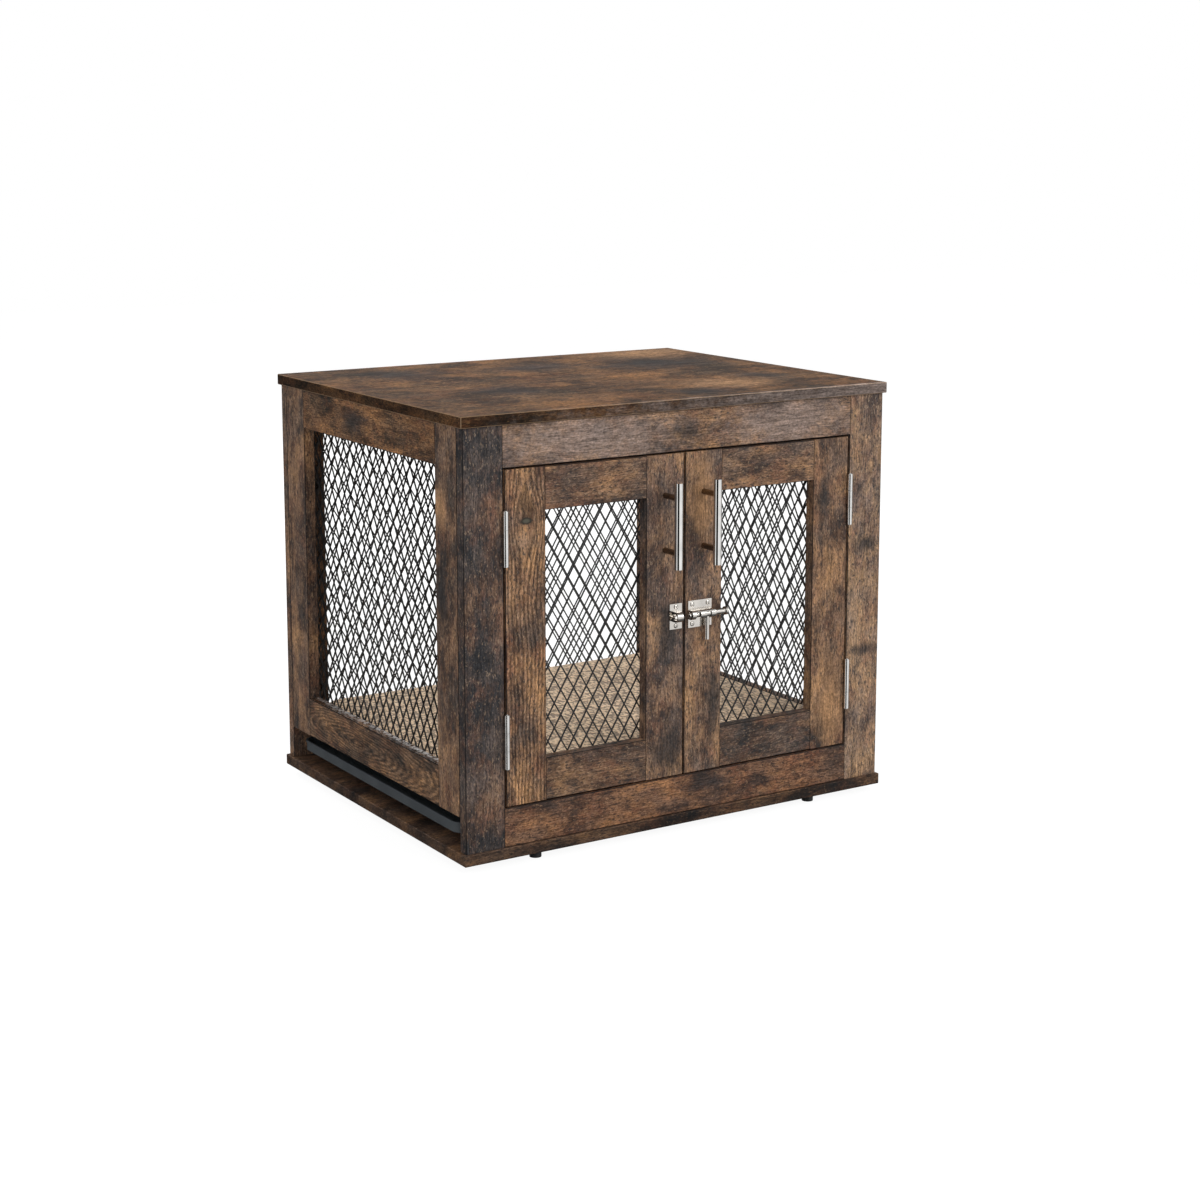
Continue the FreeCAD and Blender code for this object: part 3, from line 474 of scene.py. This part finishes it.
def laminate(name, seed, group):
    """Wood of one board, with its own part of the pattern."""
    material, tree, shader, place = new_material("wood_" + name)
    turn = GRAIN_TURNS[grain_of(name)]
    turned = add(tree, "ShaderNodeMapping", {"Vector": place, "Rotation": turn}).outputs[0]
    pattern = stretched(tree, turned, WIDE_PATTERN[name]) if name in WIDE_PATTERN else turned
    shift = tuple(step * seed for step in SEED_STEP)
    wood = add(tree, "ShaderNodeGroup", node_tree=group)
    tree.links.new(vector_math(tree, "ADD", pattern, shift), wood.inputs["Vector"])
    wood.inputs["Tone"].default_value = TONES.get(name, 0.0)
    colour, height = wood.outputs["Color"], wood.outputs["Grain"]
    if name in STAINS:
        colour = mixed(tree, 1.0, colour, (*STAINS[name], 1.0), "MULTIPLY")
    for patch in SMUDGES.get(name, ()):
        colour = smudged(tree, colour, place, wood.outputs["Shade"], *patch)
    if name in KNOTS:
        colour, lines = sawn_lines(tree, colour, turned, *KNOTS[name])
        height = arithmetic(tree, "SUBTRACT", height, arithmetic(tree, "MULTIPLY", lines, LINE_DEPTH))
    roughness = remapped(tree, height, 0.6, 1.4, 0.62, 0.46)
    normal = add(tree, "ShaderNodeNewGeometry").outputs["True Normal"]
    upward = add(tree, "ShaderNodeSeparateXYZ", {0: normal}).outputs["Z"]
    colour = edged(tree, colour, name, normal, upward)
    # Painted highlight on the upper face of the rail
    if name in RAIL_HIGHLIGHT:
        level = remapped(tree, upward, UPWARD_FROM, UPWARD_TO, 0.0, 1.0)
        highlight_spots = rail_highlight_on(tree, place, RAIL_HIGHLIGHT[name])
        colour = tinted(tree, arithmetic(tree, "MULTIPLY", level, highlight_spots), colour, RAIL_HIGHLIGHT_PALE)
        roughness = mixed_value(tree, level, roughness, RAIL_TOP_ROUGHNESS)
        height = mixed_value(tree, level, height, highlight_spots)
    relief = bumped(tree, height, GRAIN_BUMP, GRAIN_DEPTH)
    wire_up(tree, shader, base_color=colour, roughness=roughness, normal=relief)
    shader.inputs["Specular IOR Level"].default_value = GLOSS.get(name, PLAIN_GLOSS)
    return material


shared_pattern = laminate_group()
subparts = frame["record"]["subparts"]
boards = [part["node"] for part in subparts if part["material_slot"] == "rustic_wood"]
for seed, name in enumerate(boards, start=1):
    dress(nodes[name], laminate(name, seed, shared_pattern))


# Metal, plastic and cloth

WIRE_STOPS = [(0.35, (0.006, 0.006, 0.007)), (0.7, (0.018, 0.018, 0.019))]
TRAY_STOPS = [(0.3, (0.036, 0.043, 0.049)), (0.7, (0.060, 0.069, 0.076))]
FOOT_STOPS = [(0.3, (0.008, 0.008, 0.008)), (0.7, (0.016, 0.016, 0.016))]
BEIGE_STOPS = [(0.3, (0.81, 0.57, 0.35)), (0.7, (0.93, 0.69, 0.45))]
FLECK_BROWN = (0.14, 0.085, 0.045)
GAP_SHADE_BROWN = (0.13, 0.080, 0.042)
PAINT_DEPTH = 0.0002
POLISH_DEPTH = 0.0001
LOOP_DEPTH = 0.002
LOOP_WANDER = (0.002, 0.002, 0.002)
LOOP_DRAWN = (1.0, 0.6, 1.0)
FLECK_DRAWN = (1.0, 0.5, 1.0)
POLISH_FINE = 700.0
POLISH_LONG = 20.0
DULL_SHARE = 0.82


def black_wire():
    material, tree, shader, place = new_material("black_wire")
    speckle = cloudy(tree, place, 900.0, 3.0)
    colour = ramp(tree, speckle, WIRE_STOPS)
    roughness = remapped(tree, speckle, 0.3, 0.7, 0.38, 0.55)
    relief = bumped(tree, speckle, 0.25, PAINT_DEPTH)
    wire_up(tree, shader, base_color=colour, roughness=roughness, normal=relief)
    return material


def plated(name, colour, smooth, rough, along):
    """Plated steel with fine polishing lines along an axis."""
    material, tree, shader, place = new_material(name)
    scale = [POLISH_LONG if axis == along else POLISH_FINE for axis in "xyz"]
    lines = cloudy(tree, stretched(tree, place, scale), 1.0, 3.0, 0.6)
    stain = cloudy(tree, place, 60.0, 3.0)
    dull = [part * DULL_SHARE for part in colour]
    tint = ramp(tree, stain, [(0.3, dull), (0.65, colour)])
    roughness = remapped(tree, lines, 0.3, 0.7, smooth, rough)
    relief = bumped(tree, lines, 0.05, POLISH_DEPTH)
    wire_up(tree, shader, base_color=tint, roughness=roughness, normal=relief)
    shader.inputs["Metallic"].default_value = 1.0
    return material


def tray_paint():
    material, tree, shader, place = new_material("tray_paint")
    orange_peel = cloudy(tree, place, 420.0, 2.0)
    dust = cloudy(tree, place, 30.0, 5.0)
    colour = ramp(tree, dust, TRAY_STOPS)
    roughness = remapped(tree, dust, 0.3, 0.7, 0.45, 0.60)
    relief = bumped(tree, orange_peel, 0.2, PAINT_DEPTH)
    wire_up(tree, shader, base_color=colour, roughness=roughness, normal=relief)
    return material


def foot_plastic():
    material, tree, shader, place = new_material("foot_plastic")
    texture = cloudy(tree, place, 1500.0, 2.0)
    colour = ramp(tree, texture, FOOT_STOPS)
    roughness = remapped(tree, texture, 0.3, 0.7, 0.5, 0.65)
    relief = bumped(tree, texture, 0.3, PAINT_DEPTH)
    wire_up(tree, shader, base_color=colour, roughness=roughness, normal=relief)
    return material


def mat_cloth():
    """Looped beige cloth with dark flecks, and painted shade in the gaps between the loops."""
    material, tree, shader, place = new_material("mat_cloth")
    wander = cloudy(tree, place, 160.0, 3.0)
    nudged = vector_math(tree, "MULTIPLY_ADD", wander, LOOP_WANDER, place)
    drawn = stretched(tree, nudged, LOOP_DRAWN)
    loops = add(tree, "ShaderNodeTexVoronoi", {"Vector": drawn, "Scale": 250.0}, feature="F1")
    loop = loops.outputs["Distance"]
    colour = ramp(tree, cloudy(tree, place, 35.0, 4.0), BEIGE_STOPS)
    fleck = cloudy(tree, stretched(tree, place, FLECK_DRAWN), 260.0, 2.0, 0.6, 0.8)
    colour = veiled(tree, colour, fleck, 0.50, 0.60, 0.35, FLECK_BROWN)
    # Painted shade in the gaps between the loops
    colour = veiled(tree, colour, loop, 0.48, 0.60, 0.82, GAP_SHADE_BROWN)
    relief = bumped(tree, arithmetic(tree, "SUBTRACT", 1.0, loop), 0.8, LOOP_DEPTH)
    wire_up(tree, shader, base_color=colour, normal=relief)
    shader.inputs["Roughness"].default_value = 0.95
    shader.inputs["Sheen Weight"].default_value = 0.25
    shader.inputs["Specular IOR Level"].default_value = 0.1
    return material


STEEL = (0.86, 0.85, 0.83)
# Painted reflection: the posts' steel darkened to the brown of the wood it mirrors
POST_REFLECTION_BROWN = (0.30, 0.24, 0.18)
NICKEL = (0.78, 0.74, 0.69)
BLACK_WIRE = black_wire()
BAR_STEEL = plated("bar_steel", STEEL, 0.03, 0.07, "z")
POST_STEEL = plated("post_steel", POST_REFLECTION_BROWN, 0.10, 0.20, "y")
HINGE_NICKEL = plated("hinge_nickel", STEEL, 0.12, 0.22, "z")
LATCH_NICKEL = plated("latch_nickel", NICKEL, 0.08, 0.20, "x")
SCREW_NICKEL = plated("screw_nickel", NICKEL, 0.14, 0.28, "x")

for name, piece in nodes.items():
    if name.endswith("mesh"):
        dress(piece, BLACK_WIRE)
    elif name.endswith(("hinge_post_leaves", "hinge_door_leaves", "hinge_pins")):
        dress(piece, HINGE_NICKEL)
    elif name.endswith("handle_screws"):
        dress(piece, SCREW_NICKEL)
    elif name.endswith("handle_posts"):
        dress(piece, POST_STEEL)
    elif name.endswith("handle_bar"):
        dress(piece, BAR_STEEL)
    elif name.startswith(("latch", "bolt")):
        dress(piece, LATCH_NICKEL)
dress(nodes["tray"], tray_paint())
dress(nodes["feet"], foot_plastic())


# Soft edges on boards and hardware

BEVEL_ANGLE = 50
PLATE_BEVEL = 0.0003
GRIP_BEVEL = 0.0008
BOARD_BEVEL = 0.0005


def softened(name, width, segments):
    bevel = nodes[name].modifiers.new("soft_edges", "BEVEL")
    bevel.width = width
    bevel.segments = segments
    bevel.limit_method = "ANGLE"
    bevel.angle_limit = math.radians(BEVEL_ANGLE)
    bevel.use_clamp_overlap = True


for name in ("feet", "latch_plate", "latch_keeper"):
    softened(name, PLATE_BEVEL, 2)
for name in ("left_handle_bar", "right_handle_bar", "bolt_knob"):
    softened(name, GRIP_BEVEL, 3)
for name in boards:
    softened(name, BOARD_BEVEL, 1)


# Pieces of the scene

def new_piece(name, mesh, material, body):
    """Object from a finished bmesh, dressed and tied to the body that carries it."""
    data = bpy.data.meshes.new(name)
    mesh.to_mesh(data)
    mesh.free()
    data.shade_smooth()
    piece = bpy.data.objects.new(name, data)
    bpy.context.scene.collection.objects.link(piece)
    dress(piece, material)
    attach(piece, body)
    return piece


# Latch screws: domed heads with a cross recess, on the plate of the bolt and on its keeper

SCREW_RADIUS = 0.0028
SCREW_DOME = 0.0014
SCREW_RIM = 0.0004
RECESS_ARM = 0.0016
RECESS_HALF = 0.00035
RECESS_DEPTH = 0.0007
SCREW_RINGS = 12
SCREW_TURNS = 48


def screw_height(x, z):
    """Height of a screw head above its plate."""
    reach = math.hypot(x, z) / SCREW_RADIUS
    height = SCREW_RIM + (SCREW_DOME - SCREW_RIM) * math.sqrt(max(0.0, 1 - reach * reach))
    arms = (abs(x), abs(z))
    if min(arms) < RECESS_HALF and max(arms) < RECESS_ARM:
        height -= RECESS_DEPTH
    return height


def add_screw(mesh, x, face, z):
    """Screw head that stands on an upright plate whose front is at face."""
    rings = []
    for ring in range(1, SCREW_RINGS + 1):
        reach = SCREW_RADIUS * ring / SCREW_RINGS
        rings.append([])
        for turn in range(SCREW_TURNS):
            angle = 2 * math.pi * turn / SCREW_TURNS
            dx, dz = reach * math.cos(angle), reach * math.sin(angle)
            rings[-1].append(mesh.verts.new((x + dx, face - screw_height(dx, dz), z + dz)))
    rings.append([mesh.verts.new((corner.co.x, face, corner.co.z)) for corner in rings[-1]])
    middle = mesh.verts.new((x, face - screw_height(0.0, 0.0), z))
    for turn in range(SCREW_TURNS):
        following = (turn + 1) % SCREW_TURNS
        mesh.faces.new((middle, rings[0][turn], rings[0][following]))
        for inner, outer in zip(rings, rings[1:]):
            mesh.faces.new((inner[turn], outer[turn], outer[following], inner[following]))
    mesh.faces.new(rings[-1][::-1])


PLATE_THICKNESS = 0.0015
PLATE_FACE = FRONT_FACE - PLATE_THICKNESS
PLATE_LOW, PLATE_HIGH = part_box("latch_plate")
LATCH_HEIGHT = (PLATE_LOW.z + PLATE_HIGH.z) / 2
PLATE_COLUMNS, PLATE_RISE = (0.0105, 0.0325), 0.0115
KEEPER_COLUMNS, KEEPER_RISE = (-0.0125,), 0.0112


def screws(name, body, columns, rise):
    """Screws above and below the bolt, two to a column."""
    mesh = bmesh.new()
    for x in columns:
        for z in (LATCH_HEIGHT - rise, LATCH_HEIGHT + rise):
            add_screw(mesh, x, PLATE_FACE, z)
    bmesh.ops.recalc_face_normals(mesh, faces=mesh.faces)
    new_piece(name, mesh, LATCH_NICKEL, body)


screws("plate_screws", "right_door", PLATE_COLUMNS, PLATE_RISE)
screws("keeper_screws", "left_door", KEEPER_COLUMNS, KEEPER_RISE)


# Staples that hold the wire sheets inside their frames: each bridges a crossing near the edge of its sheet

CELL = (0.0086, 0.0145)
STAPLE_HALF = 0.003
STAPLE_WIRE = 0.0005
STAPLE_SPACING = 0.10
STAPLE_SIDES = 8
CLEAR_ROWS = 2
CLEAR_COLUMNS = 4


def add_tube(mesh, points, radius):
    """Round wire through points, with flat ends."""
    loops = []
    for index, point in enumerate(points):
        before, after = points[max(index - 1, 0)], points[min(index + 1, len(points) - 1)]
        frame_turn = (after - before).to_track_quat("Z", "Y").to_matrix()
        loops.append([])
        for side in range(STAPLE_SIDES):
            angle = 2 * math.pi * side / STAPLE_SIDES
            around = frame_turn @ Vector((math.cos(angle), math.sin(angle), 0))
            loops[-1].append(mesh.verts.new(point + radius * around))
    for first, second in zip(loops, loops[1:]):
        for side in range(STAPLE_SIDES):
            following = (side + 1) % STAPLE_SIDES
            mesh.faces.new((first[side], first[following], second[following], second[side]))
    mesh.faces.new(loops[0][::-1])
    mesh.faces.new(loops[-1])


def edge_crossings(across, up):
    """Cells of the outer columns and rows where wires cross, about one spacing apart.

    Wires cross where column and row are both even or both odd.
    """
    found = []
    step = 2 * max(1, round(STAPLE_SPACING / CELL[1] / 2))
    for column in (0, across - 1):
        start = column % 2 + CLEAR_ROWS
        found += [(column, row) for row in range(start, up - CLEAR_ROWS, step)]
    step = 2 * max(1, round(STAPLE_SPACING / CELL[0] / 2))
    for row in (0, up - 1):
        start = row % 2 + CLEAR_COLUMNS
        found += [(column, row) for column in range(start, across - CLEAR_COLUMNS + 1, step)]
    return found


def staples(name, sheet, body, along, inward):
    """Staples of one sheet; along is the way its cells were laid, and inward points into the cabin."""
    low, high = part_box(sheet)
    span = high - low
    across = round(abs(span.dot(along)) / CELL[0])
    up = round(span.z / CELL[1])
    depth = abs(span.dot(inward))
    ahead = along + inward
    corner = Vector((low.x if ahead.x > 0 else high.x, low.y if ahead.y > 0 else high.y, low.z))
    bend = STAPLE_WIRE * 2
    crown = depth + STAPLE_WIRE
    shape = [(-STAPLE_HALF, 0), (-STAPLE_HALF, crown - bend), (bend - STAPLE_HALF, crown)]
    shape += [(STAPLE_HALF - bend, crown), (STAPLE_HALF, crown - bend), (STAPLE_HALF, 0)]
    mesh = bmesh.new()
    for column, row in edge_crossings(across, up):
        centre = corner + along * (column + 0.5) * CELL[0] + Vector((0, 0, (row + 0.5) * CELL[1]))
        add_tube(mesh, [centre + along * side + inward * lift for side, lift in shape], STAPLE_WIRE)
    bmesh.ops.recalc_face_normals(mesh, faces=mesh.faces)
    new_piece(name, mesh, BLACK_WIRE, body)


X_AXIS, Y_AXIS = Vector((1, 0, 0)), Vector((0, 1, 0))
staples("left_door_staples", "left_door_mesh", "left_door", -X_AXIS, Y_AXIS)
staples("right_door_staples", "right_door_mesh", "right_door", -X_AXIS, Y_AXIS)
staples("left_side_staples", "left_side_mesh", "crate", Y_AXIS, X_AXIS)
staples("right_side_staples", "right_side_mesh", "crate", -Y_AXIS, -X_AXIS)
staples("back_staples", "back_mesh", "crate", X_AXIS, -Y_AXIS)


# Floor mat: crowned pad with rolled edges and sides drawn in between its corners, swollen by a cloth run

MAT_CORNER = 0.030
MAT_DRAW_IN = 0.003
MAT_ROLL = 0.003
MAT_CROWN = 0.0005
MAT_SPREAD = 0.0015
MAT_LIFT = 0.002
MAT_VOXEL = 0.005
MAT_PRESSURE = 4.0
MAT_FRAMES = 20
MAT_CAP = 0.0015
MAT_SHOULDER = 0.06
MAT_GRID = 90
TINY = 1e-9


def rounded_square(u, v, half):
    """Point of the mat for u and v from -1 to 1, with round corners and sides that draw in."""
    x, y = u * half[0], v * half[1]
    over_x = max(abs(x) - (half[0] - MAT_CORNER), 0)
    over_y = max(abs(y) - (half[1] - MAT_CORNER), 0)
    if over_x and over_y:
        shrink = max(over_x, over_y) / math.hypot(over_x, over_y)
        x = math.copysign(half[0] - MAT_CORNER + over_x * shrink, x)
        y = math.copysign(half[1] - MAT_CORNER + over_y * shrink, y)
    x -= u * MAT_DRAW_IN * max(0.0, 1 - v * v) * abs(u)
    y -= v * MAT_DRAW_IN * max(0.0, 1 - u * u) * abs(v)
    return x, y


def crown_height(edge, thick):
    """Height of the top above the floor at a distance from the edge."""
    wall = thick - MAT_CROWN
    if edge < MAT_ROLL:
        away = 1 - edge / MAT_ROLL
        return wall - MAT_ROLL + MAT_ROLL * math.sqrt(max(0.0, 1 - away * away))
    return wall + MAT_CROWN * min(1.0, (edge - MAT_ROLL) / MAT_SHOULDER)


def mat_mesh():
    """Closed pad, a little fuller than its solid because the cloth run rounds its edges."""
    low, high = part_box("floor_mat")
    centre = (low + high) / 2
    half = ((high.x - low.x) / 2 + MAT_SPREAD, (high.y - low.y) / 2 + MAT_SPREAD)
    thick = high.z - low.z + MAT_LIFT
    grid = MAT_GRID
    mesh = bmesh.new()
    rows = []
    for sheet in (0, 1):
        rows.append([])
        for j in range(grid + 1):
            rows[sheet].append([])
            for i in range(grid + 1):
                x, y = rounded_square(2 * i / grid - 1, 2 * j / grid - 1, half)
                edge = min(half[0] - abs(x), half[1] - abs(y))
                z = low.z if sheet == 0 else low.z + crown_height(edge, thick)
                rows[sheet][j].append(mesh.verts.new((centre.x + x, centre.y + y, z)))
    for sheet in (0, 1):
        for j in range(grid):
            for i in range(grid):
                near, far = rows[sheet][j], rows[sheet][j + 1]
                quad = [near[i], near[i + 1], far[i + 1], far[i]]
                mesh.faces.new(quad if sheet else quad[::-1])
    rim = [(i, 0) for i in range(grid)] + [(grid, j) for j in range(grid)]
    rim += [(i, grid) for i in range(grid, 0, -1)] + [(0, j) for j in range(grid, 0, -1)]
    for (i, j), (k, m) in zip(rim, rim[1:] + rim[:1]):
        mesh.faces.new((rows[0][j][i], rows[0][m][k], rows[1][m][k], rows[1][j][i]))
    return mesh


def swell(piece):
    """Cloth run under pressure: the underside stays put, and no point moves further than the cap."""
    piece.data.remesh_voxel_size = MAT_VOXEL
    with bpy.context.temp_override(object=piece, active_object=piece, selected_objects=[piece]):
        bpy.ops.object.voxel_remesh()
    floor = min(vertex.co.z for vertex in piece.data.vertices)
    under = [vertex.index for vertex in piece.data.vertices if vertex.co.z < floor + MAT_VOXEL / 2]
    piece.vertex_groups.new(name="underside").add(under, 1.0, "REPLACE")
    before = [vertex.co.copy() for vertex in piece.data.vertices]
    cloth = piece.modifiers.new("swell", "CLOTH")
    cloth.settings.use_pressure = True
    cloth.settings.uniform_pressure_force = MAT_PRESSURE
    cloth.settings.vertex_group_mass = "underside"
    cloth.settings.effector_weights.gravity = 0.0
    scene = bpy.context.scene
    for number in range(1, MAT_FRAMES + 1):
        scene.frame_set(number)
    shaped = piece.evaluated_get(bpy.context.evaluated_depsgraph_get())
    after = [vertex.co.copy() for vertex in shaped.data.vertices]
    piece.modifiers.remove(cloth)
    scene.frame_set(1)
    for vertex, old, new in zip(piece.data.vertices, before, after):
        move = new - old
        vertex.co = old + move * min(1.0, MAT_CAP / max(move.length, TINY))
    piece.data.shade_smooth()
    smooth = piece.modifiers.new("smooth", "SUBSURF")
    smooth.levels = 1
    smooth.render_levels = 1


floor_pad = new_piece("floor_pad", mat_mesh(), mat_cloth(), "crate")
swell(floor_pad)
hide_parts("floor_mat")


# Light, floor and background

# Greys from the ground at 0 to the zenith at 1, and for the walls once around the crate from 0 to 1
SOFT_STOPS = [(0.0, 0.6), (0.48, 0.95), (0.62, 0.85), (0.95, 0.45)]
WALL_STOPS = [
    (0.00, 0.9), (0.055, 1.0), (0.065, 0.02), (0.195, 0.02), (0.205, 1.0), (0.42, 0.9),
    (0.50, 0.12), (0.58, 1.0), (0.74, 1.0), (0.79, 0.12), (0.97, 0.12),
]
BAND_STOPS = [(0.20, 0.15), (0.40, 1.0), (0.60, 1.0), (0.66, 0.12), (0.74, 0.12), (0.80, 1.0), (0.95, 0.4)]
WHITE = (1.0, 1.0, 1.0)
FLOOR_SIZE = 14
FLOOR_PALE = (0.8, 0.8, 0.8, 1.0)
FLOOR_SHADED = (0.12, 0.12, 0.12, 1.0)
FLOOR_GLOW = 0.93


def area_light(name, place, target, size, power, mirrored=True):
    data = bpy.data.lights.new(name, "AREA")
    data.shape = "RECTANGLE"
    data.size, data.size_y = size
    data.energy = power
    light = bpy.data.objects.new(name, data)
    aim = Vector(target) - Vector(place)
    turn = aim.to_track_quat("-Z", "Y").to_matrix().to_4x4()
    light.matrix_world = Matrix.Translation(place) @ turn
    light.visible_camera = False
    light.visible_glossy = mirrored
    bpy.context.scene.collection.objects.link(light)


def grey_ramp(tree, factor, stops):
    return ramp(tree, factor, [(position, (value, value, value)) for position, value in stops])


def studio_world():
    """White for the camera, bright at the crate's height for soft light, and banded for reflections."""
    world = bpy.data.worlds.new("studio")
    bpy.context.scene.world = world
    world.use_nodes = True
    tree = world.node_tree
    ray = add(tree, "ShaderNodeLightPath").outputs
    toward = add(tree, "ShaderNodeTexCoord").outputs["Generated"]
    rise = add(tree, "ShaderNodeSeparateXYZ", {0: toward}).outputs["Z"]
    rise = remapped(tree, rise, -1.0, 1.0, 0.0, 1.0)
    around = add(tree, "ShaderNodeTexGradient", {"Vector": toward}, gradient_type="RADIAL").outputs["Fac"]
    walls = grey_ramp(tree, around, WALL_STOPS)
    mirror = mixed(tree, 1.0, walls, grey_ramp(tree, rise, BAND_STOPS), "MULTIPLY")
    room = mixed(tree, ray["Is Glossy Ray"], grey_ramp(tree, rise, SOFT_STOPS), mirror)
    direct = arithmetic(tree, "MAXIMUM", ray["Is Camera Ray"], ray["Is Transmission Ray"])
    seen = tinted(tree, direct, room, WHITE)
    tree.links.new(seen, tree.nodes["Background"].inputs["Color"])


def studio_floor():
    """White with a soft shadow for the camera, pale for soft light and clear for reflections."""
    bpy.ops.mesh.primitive_plane_add(size=FLOOR_SIZE, location=(0, 0, 0))
    floor = bpy.context.object
    floor.name = "floor"
    material, tree, shader, _ = new_material("floor_white")
    ray = add(tree, "ShaderNodeLightPath").outputs
    shader.inputs["Base Color"].default_value = FLOOR_PALE
    shader.inputs["Roughness"].default_value = 0.9
    shaded = add(tree, "ShaderNodeBsdfDiffuse", {"Color": FLOOR_SHADED}).outputs[0]
    glow = {"Color": (*WHITE, 1.0), "Strength": FLOOR_GLOW}
    bright = add(tree, "ShaderNodeEmission", glow).outputs[0]
    seen = add(tree, "ShaderNodeAddShader", {0: shaded, 1: bright}).outputs[0]
    clear = add(tree, "ShaderNodeBsdfTransparent").outputs[0]
    unseen = {0: ray["Is Glossy Ray"], 1: shader.outputs[0], 2: clear}
    cover = add(tree, "ShaderNodeMixShader", unseen).outputs[0]
    cover = add(tree, "ShaderNodeMixShader", {0: ray["Is Camera Ray"], 1: cover, 2: seen}).outputs[0]
    tree.links.new(cover, tree.nodes["Material Output"].inputs["Surface"])
    dress(floor, material)


studio_world()
studio_floor()
area_light("key", (0.9, -2.6, 2.0), (0.0, 0.0, 0.28), (1.8, 1.8), 48)
area_light("side", (-2.6, -0.6, 1.5), (-0.2, 0.0, 0.25), (1.4, 1.4), 12, mirrored=False)
area_light("back", (0.3, 2.6, 1.4), (0.0, 0.0, 0.09), (2.4, 1.4), 95, mirrored=False)
bpy.context.scene.view_settings.view_transform = "Standard"
